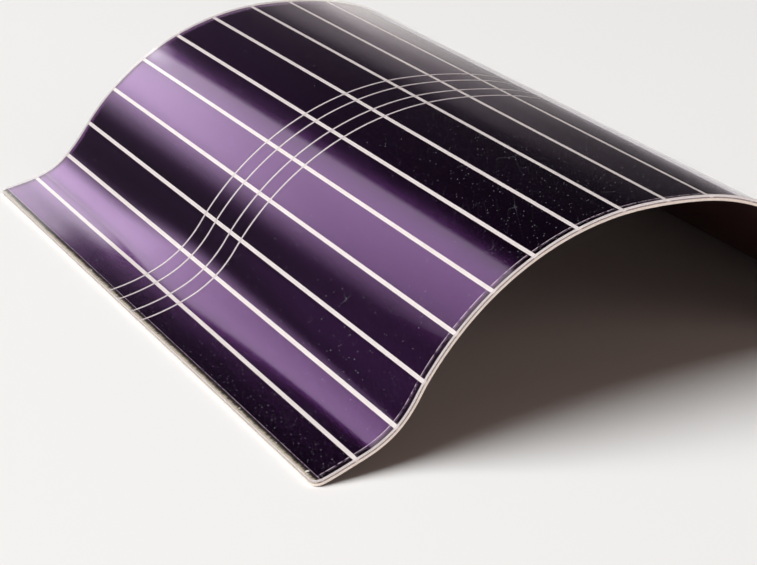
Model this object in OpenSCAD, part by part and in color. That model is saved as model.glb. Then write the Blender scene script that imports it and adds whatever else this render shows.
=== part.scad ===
// Thin photovoltaic film, lying on a flat surface in one wave.
// The film is a laminate: back film, rear adhesive, cell strips with conductor lines between
// them, front adhesive with four cross lines in it, and a clear front film.
// Every layer follows one chain of arcs and straights, so a change of bend carries them all.
// X runs across the strips from the toe edge to the tail, Y along the strips, Z up.
// The origin is under the middle of the film, on the surface that it lies on.

/* [Strips] */
// Number of cell strips across the film
strip_count = 18; // [18:1:22]
// Width of a strip, from one conductor line to the next
strip_pitch = 8.5; // [8.2:0.1:9.5]
// Number of narrower strips beside the toe edge
narrow_count = 3; // [0:1:6]
// Width of a narrower strip, from one conductor line to the next
narrow_pitch = 7.55; // [7:0.05:8.5]
// Width of the seal along each side edge
edge_seal_w = 1.4; // [0.8:0.1:2.5]

/* [Outline] */
// Length of the film along the toe edge
film_len = 151.6; // [120:0.2:200]
// Angle by which the near end is cut out of square
cut_angle = 6.7; // [0:0.1:10]
// Radius of the film's corners
corner_radius = 1.6; // [0.4:0.2:4]

/* [Layers] */
// Thickness of the back film
back_film_t = 0.42; // [0.2:0.02:0.8]
// Thickness of the adhesive under the cells
rear_adhesive_t = 0.06; // [0.04:0.01:0.2]
// Thickness of the cell strips and of the conductor lines
cell_t = 0.08; // [0.05:0.01:0.2]
// Thickness of the adhesive over the cells and of the cross lines
front_adhesive_t = 0.06; // [0.04:0.01:0.2]
// Thickness of the clear front film
front_film_t = 0.38; // [0.2:0.02:0.8]

/* [Lines] */
// Width of a conductor line
line_w = 0.7; // [0.4:0.05:1.2]
// Width of a cross line
cross_line_w = 0.46; // [0.3:0.02:0.8]
// Distance from the near toe corner to the first cross line
cross_first_y = 72.5; // [40:0.5:95]
// Distance between the two cross lines of a pair
cross_pair_gap = 4.75; // [2:0.05:8]
// Distance from the first pair of cross lines to the second
cross_pair_step = 11.3; // [9:0.1:20]

/* [Bend] */
// Angle of the film to the surface at its toe edge
toe_angle = 8.5; // [4:0.5:12]
// Radius of the hollow next to the toe edge
toe_radius = 31.5; // [24:0.5:40]
// Angle of rise at which the hollow tightens
hollow_angle = 27; // [18:0.5:36]
// Radius of the tighter hollow at the foot of the rise
rise_radius = 21.2; // [16:0.2:26]
// Steepest angle of the rise
rise_angle = 56.2; // [48:0.2:58]
// Radius of the front of the crown
front_crown_radius = 49.4; // [42:0.2:52]
// Angle of rise at which the crown flattens towards its crest
crest_angle = 0.6; // [0.2:0.2:6]
// Radius of the flatter crest
crest_radius = 88; // [60:1:120]
// Angle of fall at which the crest ends
crest_end_angle = 7.4; // [5:0.2:10]
// Radius of the back of the crown
rear_crown_radius = 43; // [38:0.5:48]
// Steepest angle of the fall
fall_angle = 60; // [56:0.5:64]

/* [Hidden] */
// Facets so fine that the thinnest layers don't cut into each other where they bend
$fn = 720;
CELL_COLOR = [0.33, 0.21, 0.37];
LINE_COLOR = [0.90, 0.87, 0.88];
BACK_COLOR = [0.84, 0.79, 0.71];
FRONT_COLOR = [0.86, 0.82, 0.88, 0.3];
ADHESIVE_COLOR = [0.30, 0.25, 0.22];
SEAL_COLOR = [0.72, 0.67, 0.60];

// Heights of the layer boundaries above the underside of the film
rear_adhesive_z = back_film_t;
cell_z = rear_adhesive_z + rear_adhesive_t;
front_adhesive_z = cell_z + cell_t;
front_film_z = front_adhesive_z + front_adhesive_t;
film_t = front_film_z + front_film_t;

// Distance from the toe edge to conductor line i, measured over the bend on the front face
function line_at(i) =
    min(i, narrow_count) * narrow_pitch + max(i - narrow_count, 0) * strip_pitch;
film_w = line_at(strip_count);

// Distances of the four cross lines from the near toe corner
cross_lines_y = [for (pair = [0, 1], side = [0, 1])
    cross_first_y + pair * cross_pair_step + side * cross_pair_gap];

// Lengths are set to a thousandth of a millimetre and angles to a thousandth of a degree, so
// that neighbouring pieces end on exactly the same face
function thousandth(x) = round(x * 1000) / 1000;

// A stretch of the bend is [length, slope at its start, slope at its end]
function arc(radius, from, to) = [radius * abs(to - from) * PI / 180, from, to];
function signed_radius(stretch) =
    sign(stretch[2] - stretch[1])
    * thousandth(stretch[0] * 180 / PI / abs(stretch[2] - stretch[1]));
function slope_in(stretch, s) =
    thousandth(stretch[1] + (stretch[2] - stretch[1]) * s / stretch[0]);

// A hair by which a stretch laps into the next one, in degrees, so that they join into one piece
lap = 0.0000001;
function lap_into_next(stretch, goes_on) = goes_on ? lap * sign(stretch[2] - stretch[1]) : 0;

// The way from a point of an arc up to its centre, below the film on the crown
function to_centre(stretch, slope) = signed_radius(stretch) * [-sin(slope), cos(slope)];

// X and Z travelled over a whole stretch, and over all stretches before stretch i
function travel(stretch) =
    stretch[1] == stretch[2]
    ? [stretch[0], 0]
    : to_centre(stretch, stretch[1]) - to_centre(stretch, stretch[2]);
function travel_before(list, i) =
    i == 0 ? [0, 0] : travel(list[i - 1]) + travel_before(list, i - 1);
function length_before(list, i) = i == 0 ? 0 : list[i - 1][0] + length_before(list, i - 1);

// The bend from the toe edge to the steepest part of the fall
crown = [
    arc(toe_radius, toe_angle, hollow_angle),
    arc(rise_radius, hollow_angle, rise_angle),
    arc(front_crown_radius, rise_angle, crest_angle),
    arc(crest_radius, crest_angle, -crest_end_angle),
    arc(rear_crown_radius, -crest_end_angle, -fall_angle)];

// The foot has the radius that sets the film down flat on the surface
toe_z = film_t * cos(toe_angle);
drop_left = toe_z + travel_before(crown, len(crown))[1] - film_t;
foot = arc(thousandth(drop_left / (1 - cos(fall_angle))), -fall_angle, 0);

// The tail lies flat and takes up the rest of the film's width
tail_w = film_w - length_before(crown, len(crown)) - foot[0];
bend = concat(crown, [foot, [tail_w, 0, 0]]);

// The film's middle, on which the origin is set
film_end_x = travel_before(bend, len(bend))[0];
middle = [film_end_x / 2, film_len / 2];

// Distance of a corner's centre from both edges, a little under the radius, so that the arc
// meets each edge at a slight angle and doesn't just graze it
corner_inset = 0.97 * corner_radius;

function numbered(name, i) = str(name, i < 10 ? "_0" : "_", i);

// Moves in two steps, a coarse and a fine one, so that no digit of a place is lost
module place(v) {
    coarse = [for (x = v) thousandth(x)];
    translate(coarse)
        translate(v - coarse)
            children();
}

// A flat stretch of a layer: s is the span along it, depth the span below the front face
module flat_stretch(s, depth, y) {
    translate([s[0], y[0], -depth[1]])
        cube([s[1] - s[0], y[1] - y[0], depth[1] - depth[0]]);
}

// A bent stretch of a layer: slopes is the span of slopes, from the smaller to the larger
module bent_stretch(radius, slopes, depth, y) {
    hollow = radius > 0;
    inner = abs(radius) + (hollow ? depth[0] : -depth[1]);
    rotate([90, 0, 0])
        rotate_extrude(start = slopes[0] + (hollow ? -90 : 90), angle = slopes[1] - slopes[0])
            translate([inner, -y[1]])
                square([depth[1] - depth[0], y[1] - y[0]]);
}

// A patch of the film: u is its span from the toe edge over the bend, z its span through the
// film's thickness and y its span along the strips
module patch(u, z, y) {
    depth = [film_t - z[1], film_t - z[0]];
    for (i = [0 : len(bend) - 1]) {
        stretch = bend[i];
        begin = length_before(bend, i);
        s = [max(u[0] - begin, 0), min(u[1] - begin, stretch[0])];
        at = travel_before(bend, i) + [0, toe_z];
        if (s[1] > s[0])
            if (stretch[1] == stretch[2])
                place([at[0], 0, at[1]])
                    flat_stretch([for (end = s) thousandth(end)], depth, y);
            else {
                centre = at + to_centre(stretch, stretch[1]);
                goes_on = u[1] > begin + stretch[0];
                ends = [slope_in(stretch, s[0]),
                    slope_in(stretch, s[1]) + lap_into_next(stretch, goes_on)];
                place([centre[0], 0, centre[1]])
                    bent_stretch(signed_radius(stretch), [min(ends), max(ends)], depth, y);
            }
    }
}

function heading(angle) = [cos(angle), sin(angle)];

// What is trimmed off a corner: at is its place in plan, and its edges leave it at two headings,
// the second to the left of the first
module corner_waste(at, first, second) {
    half = (second - first) / 2;
    centre = at + heading(first + half) * corner_inset / sin(half);
    reach = corner_inset / tan(half);
    linear_extrude(film_w, center = true)
        difference() {
            polygon([
                centre,
                at + reach * heading(first) + corner_radius * heading(first - 90),
                at - corner_radius * heading(first + half),
                at + reach * heading(second) + corner_radius * heading(second + 90)]);
            translate(centre)
                circle(corner_radius);
        }
}

// Sets the film on its origin, cuts the near end at its angle and rounds the corners
module trimmed() {
    waste_w = film_w + film_len;
    translate([-middle[0], -middle[1], 0])
        difference() {
            children();
            rotate([0, 0, cut_angle])
                translate([-waste_w, -waste_w, -film_t])
                    cube([2 * waste_w, waste_w, film_w]);
            corner_waste([0, 0], cut_angle, 90);
            corner_waste([film_end_x, film_end_x * tan(cut_angle)], 90, 180 + cut_angle);
            corner_waste([film_end_x, film_len], 180, 270);
            corner_waste([0, film_len], 270, 360);
        }
}

// A layer from the near end to the far end
module strip(u, z, height) {
    trimmed() patch(u, [z, z + height], [-film_t, film_len]);
}

module back_film() {
    color(BACK_COLOR) strip([0, film_w], 0, back_film_t);
}

module rear_adhesive() {
    color(ADHESIVE_COLOR) strip([0, film_w], rear_adhesive_z, rear_adhesive_t);
}

module cell_strip(i) {
    from = i == 1 ? edge_seal_w : line_at(i - 1) + line_w / 2;
    to = i == strip_count ? film_w - edge_seal_w : line_at(i) - line_w / 2;
    color(CELL_COLOR) strip([from, to], cell_z, cell_t);
}

module conductor_line(i) {
    color(LINE_COLOR) strip([line_at(i) - line_w / 2, line_at(i) + line_w / 2], cell_z, cell_t);
}

module toe_edge_seal() {
    color(SEAL_COLOR) strip([0, edge_seal_w], cell_z, cell_t);
}

module tail_edge_seal() {
    color(SEAL_COLOR) strip([film_w - edge_seal_w, film_w], cell_z, cell_t);
}

module cross_line(i) {
    y = cross_lines_y[i - 1];
    color(LINE_COLOR)
        trimmed()
            patch([0, film_w], [front_adhesive_z, front_film_z],
                [y - cross_line_w / 2, y + cross_line_w / 2]);
}

// The adhesive fills the bands before, between and after the cross lines
module front_adhesive() {
    from = concat([-film_t], [for (y = cross_lines_y) y + cross_line_w / 2]);
    to = concat([for (y = cross_lines_y) y - cross_line_w / 2], [film_len]);
    color(ADHESIVE_COLOR)
        trimmed()
            for (band = [0 : len(from) - 1])
                patch([0, film_w], [front_adhesive_z, front_film_z], [from[band], to[band]]);
}

module front_film() {
    color(FRONT_COLOR) strip([0, film_w], front_film_z, front_film_t);
}

back_film();
rear_adhesive();
toe_edge_seal();
tail_edge_seal();
for (i = [1 : strip_count])
    cell_strip(i);
for (i = [1 : strip_count - 1])
    conductor_line(i);
for (i = [1 : len(cross_lines_y)])
    cross_line(i);
front_adhesive();
front_film();
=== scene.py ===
# %% [markdown]
# A thin photovoltaic film, dressed for its picture.
# The film is a laminate about 1 mm thick: a back film, a thin adhesive, dark cell strips with pale
# conductor lines between them, a clear adhesive with four cross lines in it, and a clear front film.
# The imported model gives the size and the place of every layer. This script loads it, builds each
# layer again as a finely divided mesh along the same bend, and gives each one its real finish.

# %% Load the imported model
import bpy
import math
from mathutils import Matrix, Vector


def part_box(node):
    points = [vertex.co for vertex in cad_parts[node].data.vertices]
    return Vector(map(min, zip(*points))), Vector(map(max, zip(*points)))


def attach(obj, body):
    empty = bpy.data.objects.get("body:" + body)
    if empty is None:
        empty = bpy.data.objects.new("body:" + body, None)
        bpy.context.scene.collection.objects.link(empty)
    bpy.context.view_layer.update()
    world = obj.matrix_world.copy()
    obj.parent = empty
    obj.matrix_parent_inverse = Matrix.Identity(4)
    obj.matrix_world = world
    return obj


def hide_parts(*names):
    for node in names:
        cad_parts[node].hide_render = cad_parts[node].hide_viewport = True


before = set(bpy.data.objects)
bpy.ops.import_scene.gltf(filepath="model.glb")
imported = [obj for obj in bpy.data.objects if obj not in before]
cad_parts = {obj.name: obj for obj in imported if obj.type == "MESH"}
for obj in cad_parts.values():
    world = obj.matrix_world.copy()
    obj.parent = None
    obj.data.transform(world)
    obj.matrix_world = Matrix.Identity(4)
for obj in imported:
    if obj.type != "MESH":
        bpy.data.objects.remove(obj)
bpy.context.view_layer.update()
MM = 0.001
print("packed nodes:", len(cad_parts))

# %% [markdown]
# The camera stands low before the near end of the film and looks along its strips, a little to the
# right. A long lens keeps the strips nearly parallel. The place and the three angles were fitted to
# the crossings of the lines in the photograph, so the lens is written as the pinhole distance in
# pixels of the photograph and turned into millimetres for a 36 mm wide sensor. A camera can be set
# by eye too, but these long straight lines show even a small error.

# %% Set up the camera
IMAGE_W = 757
PINHOLE_PX = 2343
SENSOR_W = 36.0
CAMERA_AT = Vector((-0.18827, -0.35520, 0.14364))
YAW = math.radians(25.718)
PITCH = math.radians(20.125)
ROLL = math.radians(-0.248)


def camera_matrix(place, yaw, pitch, roll):
    """Looks along +Y turned right by yaw and down by pitch, then rolls about the view."""
    ahead = Vector((math.sin(yaw) * math.cos(pitch), math.cos(yaw) * math.cos(pitch), -math.sin(pitch)))
    level_right = ahead.cross(Vector((0, 0, 1))).normalized()
    level_down = ahead.cross(level_right)
    right = math.cos(roll) * level_right + math.sin(roll) * level_down
    down = -math.sin(roll) * level_right + math.cos(roll) * level_down
    turned = Matrix((right, -down, -ahead)).transposed()
    return Matrix.Translation(place) @ turned.to_4x4()


lens = bpy.data.cameras.new("camera")
lens.sensor_width = SENSOR_W
lens.lens = PINHOLE_PX * SENSOR_W / IMAGE_W
lens.clip_start = 0.01
camera = bpy.data.objects.new("camera", lens)
camera.matrix_world = camera_matrix(CAMERA_AT, YAW, PITCH, ROLL)
bpy.context.collection.objects.link(camera)
bpy.context.scene.camera = camera
bpy.context.scene.view_settings.view_transform = "Standard"
print("lens %.1f mm" % lens.lens)

# %% [markdown]
# Shader nodes are easier to read as sums than as wires, so a few short helpers come first. Each one
# adds a node, sets or links its inputs and hands back the output that is used next. A plain number
# goes onto the input itself, and only what changes over the surface is a link.

# %% Helpers for single shader nodes
def feed(tree, socket, value):
    """Links another node's output to the socket, or sets the socket to a plain value."""
    if isinstance(value, bpy.types.NodeSocket):
        tree.links.new(value, socket)
    else:
        socket.default_value = value


def add(tree, kind, settings=None, **inputs):
    """Adds a shader node. Its inputs are named with _ for each space."""
    made = tree.nodes.new("ShaderNode" + kind)
    for name, value in (settings or {}).items():
        setattr(made, name, value)
    for name, value in inputs.items():
        feed(tree, made.inputs[name.replace("_", " ")], value)
    return made


def calc(tree, operation, *values, clamp=False):
    """A Math node on up to three numbers or outputs."""
    made = tree.nodes.new("ShaderNodeMath")
    made.operation = operation
    made.use_clamp = clamp
    for socket, value in zip(made.inputs, values):
        feed(tree, socket, value)
    return made.outputs[0]


def times(tree, *values):
    """The product of two or more numbers or outputs."""
    product = values[0]
    for value in values[1:]:
        product = calc(tree, "MULTIPLY", product, value)
    return product


print("helpers for single nodes: feed, add, calc, times")

# %% [markdown]
# Two kinds of node come back all the time. A ramp turns one value into another with soft ends: it
# fades a light, a colour or a roughness over a stretch. A mix blends two colours, or two shaders,
# by a factor. Blender numbers the sockets of a mix, so the helpers hide those numbers.

# %% Helpers for ramps and mixes
def ramp(tree, value, low, high, to_low=0.0, to_high=1.0, kind="SMOOTHSTEP"):
    """A step from to_low at low to to_high at high, smooth unless kind is LINEAR."""
    made = add(tree, "MapRange", {"interpolation_type": kind}, Value=value)
    made.inputs["From Min"].default_value = low
    made.inputs["From Max"].default_value = high
    made.inputs["To Min"].default_value = to_low
    made.inputs["To Max"].default_value = to_high
    return made.outputs[0]


def mix_colour(tree, factor, first, second):
    """Mixes two colours by a factor, from the first at 0 to the second at 1."""
    made = tree.nodes.new("ShaderNodeMix")
    made.data_type = "RGBA"
    feed(tree, made.inputs[0], factor)
    for socket, value in ((made.inputs[6], first), (made.inputs[7], second)):
        feed(tree, socket, value if isinstance(value, bpy.types.NodeSocket) else (*value, 1.0))
    return made.outputs[2]


def mix_shader(tree, factor, first, second):
    """Mixes two shader nodes by a factor, from the first at 0 to the second at 1."""
    made = tree.nodes.new("ShaderNodeMixShader")
    feed(tree, made.inputs[0], factor)
    tree.links.new(first.outputs[0], made.inputs[1])
    tree.links.new(second.outputs[0], made.inputs[2])
    return made


print("helpers for blending: ramp, mix_colour, mix_shader")

# %% [markdown]
# A finish that several materials share becomes a node group, much like a function: it has named
# inputs and outputs, is built once, and is placed in each material with that material's own values.

# %% Helpers for materials and node groups
def new_material(name):
    """An empty node material, its node tree and its output node."""
    made = bpy.data.materials.new(name)
    made.use_nodes = True
    made.node_tree.nodes.clear()
    return made, made.node_tree, add(made.node_tree, "OutputMaterial")


def new_group(name, inputs, outputs):
    """An empty node group. Inputs are (name, kind, value) and outputs are (name, kind)."""
    tree = bpy.data.node_groups.new(name, "ShaderNodeTree")
    for title, kind, value in inputs:
        socket = tree.interface.new_socket(title, in_out="INPUT", socket_type="NodeSocket" + kind)
        if value is not None:
            socket.default_value = value
    for title, kind in outputs:
        tree.interface.new_socket(title, in_out="OUTPUT", socket_type="NodeSocket" + kind)
    return tree, tree.nodes.new("NodeGroupInput").outputs, tree.nodes.new("NodeGroupOutput").inputs


def place_group(tree, group, **inputs):
    """Places a node group in a material with its own values and gives its outputs."""
    made = tree.nodes.new("ShaderNodeGroup")
    made.node_tree = group
    for name, value in inputs.items():
        feed(tree, made.inputs[name.replace("_", " ")], value)
    return made.outputs


print("helpers for materials: new_material, new_group, place_group")

# %% [markdown]
# The light is that of a plain table-top studio, made of rectangular soft lights. A picture of a
# real room wrapped round the scene could light it too, but lamps can be shaped one by one. A glossy
# film mirrors its whole room, so each light is either for brightness or for reflections. One that is
# for brightness is hidden from gloss. It is also left out of multiple importance sampling, because
# a bounced ray that meets its rectangle would count it as one more clear surface, and the layers of
# the film use up most of the clear surfaces that a ray may pass.

# %% Make a soft light
def area_light(name, place, aim, size, watts, gloss):
    """A rectangular soft light that faces the point aim. gloss says whether the film mirrors it."""
    lamp = bpy.data.lights.new(name, "AREA")
    lamp.shape = "RECTANGLE"
    lamp.size, lamp.size_y = size
    lamp.energy = watts
    lamp.cycles.use_multiple_importance_sampling = gloss
    made = bpy.data.objects.new(name, lamp)
    made.location = place
    made.rotation_euler = (Vector(aim) - Vector(place)).to_track_quat("-Z", "Y").to_euler()
    made.visible_glossy = gloss
    made.visible_camera = False
    bpy.context.collection.objects.link(made)
    return made


def toward(azimuth, elevation, distance):
    """A point seen from the origin. Azimuth 0 is +Y, and it grows towards +X."""
    a, e = math.radians(azimuth), math.radians(elevation)
    return distance * Vector((math.sin(a) * math.cos(e), math.cos(a) * math.cos(e), math.sin(e)))


ORIGIN = (0, 0, 0)
print("lights aim at", ORIGIN)

# %% [markdown]
# Three lights give the brightness. The key light, from the left and a little behind, sets the level
# of the floor and throws the dark shadow to the right. A weak fill from the near side softens that
# shadow. A low, flat light at the height of the table grazes the floor and fills the cut edge.

# %% Light the floor and the edges
KEY_AZIMUTH, KEY_ELEVATION, KEY_DISTANCE = -78, 54, 3.0
KEY_SIZE = (2.8, 2.8)
KEY_WATTS = 132
KEY_COLOUR = (0.985, 1.0, 1.015)
key = area_light("key", toward(KEY_AZIMUTH, KEY_ELEVATION, KEY_DISTANCE), ORIGIN, KEY_SIZE, KEY_WATTS, False)
key.data.color = KEY_COLOUR

FILL_AZIMUTH, FILL_ELEVATION, FILL_DISTANCE = 160, 28, 2.5
FILL_SIZE = (1.6, 1.2)
FILL_WATTS = 4.8
FILL_COLOUR = (1.0, 0.80, 0.70)
fill = area_light(
    "fill", toward(FILL_AZIMUTH, FILL_ELEVATION, FILL_DISTANCE), ORIGIN, FILL_SIZE, FILL_WATTS, False)
fill.data.color = FILL_COLOUR

LOW_AZIMUTH, LOW_ELEVATION, LOW_DISTANCE = 180, 2, 2.5
LOW_SIZE = (1.2, 0.1)
LOW_WATTS = 17
LOW_COLOUR = (1.0, 0.84, 0.78)
low = area_light(
    "low_bounce", toward(LOW_AZIMUTH, LOW_ELEVATION, LOW_DISTANCE), ORIGIN, LOW_SIZE, LOW_WATTS, False)
low.data.color = LOW_COLOUR
print("lights for brightness:", key.name, fill.name, low.name)

# %% [markdown]
# Two lights give the reflections and no brightness. The soft panel stands close behind the film on
# the left, and its reflection makes the bright purple bands on the toe and on the shoulder. The
# small card beside it is seen only in the far end of the toe. Both face the near side squarely.
# Two glowing planes could stand in for them, but a lamp needs no mesh beside the object's own.

# %% Stand up the panel and the card
PANEL_AT = (-0.180, 0.550, 0.310)
PANEL_AIM = (-0.180, 0.0, 0.310)
PANEL_SIZE = (0.300, 0.420)
PANEL_WATTS = 0.385
panel = area_light("soft_panel", PANEL_AT, PANEL_AIM, PANEL_SIZE, PANEL_WATTS, True)
panel.visible_diffuse = False

CARD_AT = (-0.036, 0.300, 0.110)
CARD_AIM = (-0.036, 0.0, 0.110)
CARD_SIZE = (0.056, 0.060)
CARD_WATTS = 0.0190
card = area_light("small_card", CARD_AT, CARD_AIM, CARD_SIZE, CARD_WATTS, True)
card.visible_diffuse = False
print("lights for reflections:", panel.name, card.name)

# %% [markdown]
# A lamp has shader nodes too. Its own geometry gives the place on its rectangle, from 0 to 1 each
# way, with 0 at the right and at the foot as the film sees it. The strength is a product of ramps
# over that place, so the panel gets soft slanted sides and a brighter lower part.

# %% Grade the panel
PANEL_RIGHT_SLANT, PANEL_RIGHT_EDGE = 0.063, (0.054, 0.108)
PANEL_LEFT_SLANT, PANEL_LEFT_EDGE = 1.3, (0.05, 0.52)
PANEL_FALL, PANEL_FALL_TO = (0.30, 0.85), 0.6
PANEL_FOOT, PANEL_TOP = (0.0, 0.12), (0.9, 1.0)
PANEL_LOWER, PANEL_LOWER_GAIN = (0.25, 0.52), 1.95


def light_nodes(lamp):
    """Empties a lamp's node tree and gives it with the place on the lamp, from 0 to 1 each way."""
    lamp.use_nodes = True
    tree = lamp.node_tree
    tree.nodes.clear()
    return tree, add(tree, "SeparateXYZ", Vector=add(tree, "NewGeometry").outputs["Parametric"]).outputs


def shine(tree, *factors):
    """Lets the lamp shine with the product of the factors."""
    light = add(tree, "Emission", Strength=times(tree, *factors))
    tree.links.new(light.outputs[0], add(tree, "OutputLight").inputs["Surface"])


def grade_panel(lamp):
    """Slants the panel's two sides and fades them. Its lower part is the brighter."""
    tree, across = light_nodes(lamp)
    from_right = calc(tree, "SUBTRACT", across["X"], times(tree, across["Y"], PANEL_RIGHT_SLANT))
    right_edge = ramp(tree, from_right, *PANEL_RIGHT_EDGE)
    fall = ramp(tree, across["X"], *PANEL_FALL, 1.0, PANEL_FALL_TO, kind="LINEAR")
    slant = calc(tree, "SUBTRACT", across["X"], times(tree, across["Y"], PANEL_LEFT_SLANT))
    left_edge = ramp(tree, slant, *PANEL_LEFT_EDGE, 1.0, 0.0)
    foot = ramp(tree, across["Y"], *PANEL_FOOT)
    lower = ramp(tree, across["Y"], *PANEL_LOWER, PANEL_LOWER_GAIN, 1.0)
    top = ramp(tree, across["Y"], *PANEL_TOP, 1.0, 0.0)
    shine(tree, right_edge, fall, left_edge, foot, lower, top)


grade_panel(panel.data)
print("panel graded with", len(panel.data.node_tree.nodes), "nodes")

# %% [markdown]
# The card's slanted top gives the dark wedge in the far end of the toe, and its right side is
# dimmer. Its left side and its uppermost part fade out too, so that it has no hard edge there.

# %% Grade the card
CARD_DIM, CARD_DIM_TO = (0.12, 0.56), 0.35
CARD_LEFT_EDGE = (0.78, 1.0)
CARD_TOP_SLANT, CARD_TOP = 1.05, (0.22, 0.47)
CARD_CAP = (0.72, 0.95)


def grade_card(lamp):
    """Slants the card's top, dims its right side and fades its left side and its uppermost part."""
    tree, across = light_nodes(lamp)
    dim = ramp(tree, across["X"], *CARD_DIM, CARD_DIM_TO, 1.0)
    left_edge = ramp(tree, across["X"], *CARD_LEFT_EDGE, 1.0, 0.0)
    above = calc(tree, "SUBTRACT", across["Y"], times(tree, across["X"], CARD_TOP_SLANT))
    top = ramp(tree, above, *CARD_TOP, 1.0, 0.0)
    cap = ramp(tree, across["Y"], *CARD_CAP, 1.0, 0.0)
    shine(tree, dim, left_edge, top, cap)


grade_card(card.data)
print("card graded with", len(card.data.node_tree.nodes), "nodes")

# %% [markdown]
# The rest of the room is the world, and the film mirrors it. Walls could be built as meshes, but a
# world is shaded by direction alone, in a few nodes. Behind the film the room is dark above and
# glows near the floor. That is why the crest of the film is nearly black while its far side fades
# to grey. The glow is dimmer to the right and is left out behind the panel. Low on the left the wall
# is a dim purple, which lifts the darkest strips of the rise a little. The near walls and the
# ceiling are for views from other sides. The numbers are parts of a direction of length 1: X to the
# right, Y away from the near end and Z up.

# %% Describe the room
GLOW = (1.10, 1.06, 0.99)
GLOW_CORE, CORE_SHARE = (0.06, 0.21), 0.82
GLOW_HALO, HALO_SHARE = (0.20, 0.33), 0.17
GLOW_RIGHT, RIGHT_POWER, RIGHT_REST = (0.45, 0.60), 2.2, 0.08
PANEL_HIDES_X, PANEL_HIDES_Y = (0.0, 0.3), (0.0, 0.4)
GLOW_AHEAD, GLOW_BEHIND = (0.20, 0.60), 0.35
UPPER_ROOM = (0.011, 0.010, 0.012)
LEFT_ROOM = (0.102, 0.072, 0.112)
LEFT_ROOM_Z, LEFT_ROOM_X = (0.24, 0.56), (0.05, 0.45)
NEAR_ROOM = (0.11, 0.105, 0.11)
OVERHEAD, OVERHEAD_Z = (0.28, 0.27, 0.28), (0.25, 0.95)
NEAR_SIDE_Y = (0.25, 0.65)


def glow_share(tree, direction):
    """How much of the pale glow shows in a direction."""
    core = ramp(tree, direction["Z"], *GLOW_CORE, CORE_SHARE, 0.0)
    halo = ramp(tree, direction["Z"], *GLOW_HALO, HALO_SHARE, 0.0)
    right = ramp(tree, direction["X"], *GLOW_RIGHT, 1.0, 0.0, kind="LINEAR")
    right = calc(tree, "POWER", right, RIGHT_POWER)
    right = calc(tree, "MULTIPLY_ADD", right, 1.0 - RIGHT_REST, RIGHT_REST)
    hidden = times(
        tree, ramp(tree, direction["X"], *PANEL_HIDES_X, 1.0, 0.0),
        ramp(tree, direction["Y"], *PANEL_HIDES_Y))
    ahead = ramp(tree, direction["Y"], *GLOW_AHEAD, GLOW_BEHIND, 1.0)
    beside_panel = calc(tree, "SUBTRACT", 1.0, hidden)
    return times(tree, calc(tree, "ADD", core, halo), right, beside_panel, ahead)


def wall_colour(tree, direction):
    """The colour of the walls and the ceiling in a direction, without the glow."""
    left_low = times(
        tree, ramp(tree, direction["Z"], *LEFT_ROOM_Z, 1.0, 0.0),
        ramp(tree, direction["X"], *LEFT_ROOM_X, 1.0, 0.0))
    far_walls = mix_colour(tree, left_low, UPPER_ROOM, LEFT_ROOM)
    near_walls = mix_colour(tree, ramp(tree, direction["Z"], *OVERHEAD_Z), NEAR_ROOM, OVERHEAD)
    return mix_colour(tree, ramp(tree, direction["Y"], *NEAR_SIDE_Y, 1.0, 0.0), far_walls, near_walls)


print("room glow", GLOW, "over", UPPER_ROOM)

# %% [markdown]
# A world can look different to different rays. Mirrored rays see the room. Rays that light matt
# surfaces see a faint warm ambient light instead, so the shadow under the wave stays deep. Straight
# rays from the camera, also those through the clear film, would see a plain pale backdrop, though
# the floor fills the picture.

# %% Set up the world
AMBIENT = 0.10
AMBIENT_COLOUR = (1.0, 0.66, 0.57, 1.0)
BACKDROP = (0.86, 0.86, 0.85, 1.0)


def set_world():
    """Gives the scene its world: a room for gloss, ambient light, and a backdrop for the camera."""
    world = bpy.data.worlds.new("studio")
    bpy.context.scene.world = world
    world.use_nodes = True
    tree = world.node_tree
    tree.nodes.clear()
    direction = add(tree, "SeparateXYZ", Vector=add(tree, "TexCoord").outputs["Generated"]).outputs
    colour = mix_colour(tree, glow_share(tree, direction), wall_colour(tree, direction), GLOW)
    room = add(tree, "Background", Color=colour)
    ambient = add(tree, "Background", Color=AMBIENT_COLOUR, Strength=AMBIENT)
    backdrop = add(tree, "Background", Color=BACKDROP)
    path = add(tree, "LightPath").outputs
    mirrored = mix_shader(tree, path["Is Glossy Ray"], ambient, room)
    straight = calc(tree, "MAXIMUM", path["Is Camera Ray"], path["Is Transmission Ray"])
    seen = mix_shader(tree, straight, mirrored, backdrop)
    tree.links.new(seen.outputs[0], add(tree, "OutputWorld").inputs["Surface"])
    return world


studio = set_world()
print("world", studio.name, "with ambient", AMBIENT)

# %% [markdown]
# The floor is a matt, nearly white sheet. It is one large plane, because nothing of it but its
# colour, its faint unevenness and the shadow is seen. A backdrop that curves up behind isn't
# needed, because the picture shows nothing past the floor.

# %% Lay the floor
FLOOR_COLOUR = (0.845, 0.850, 0.835)
FLOOR_HALF = 1.2
CLOUD_SCALE = 9.0
CLOUD_SHADE = 0.985


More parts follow.
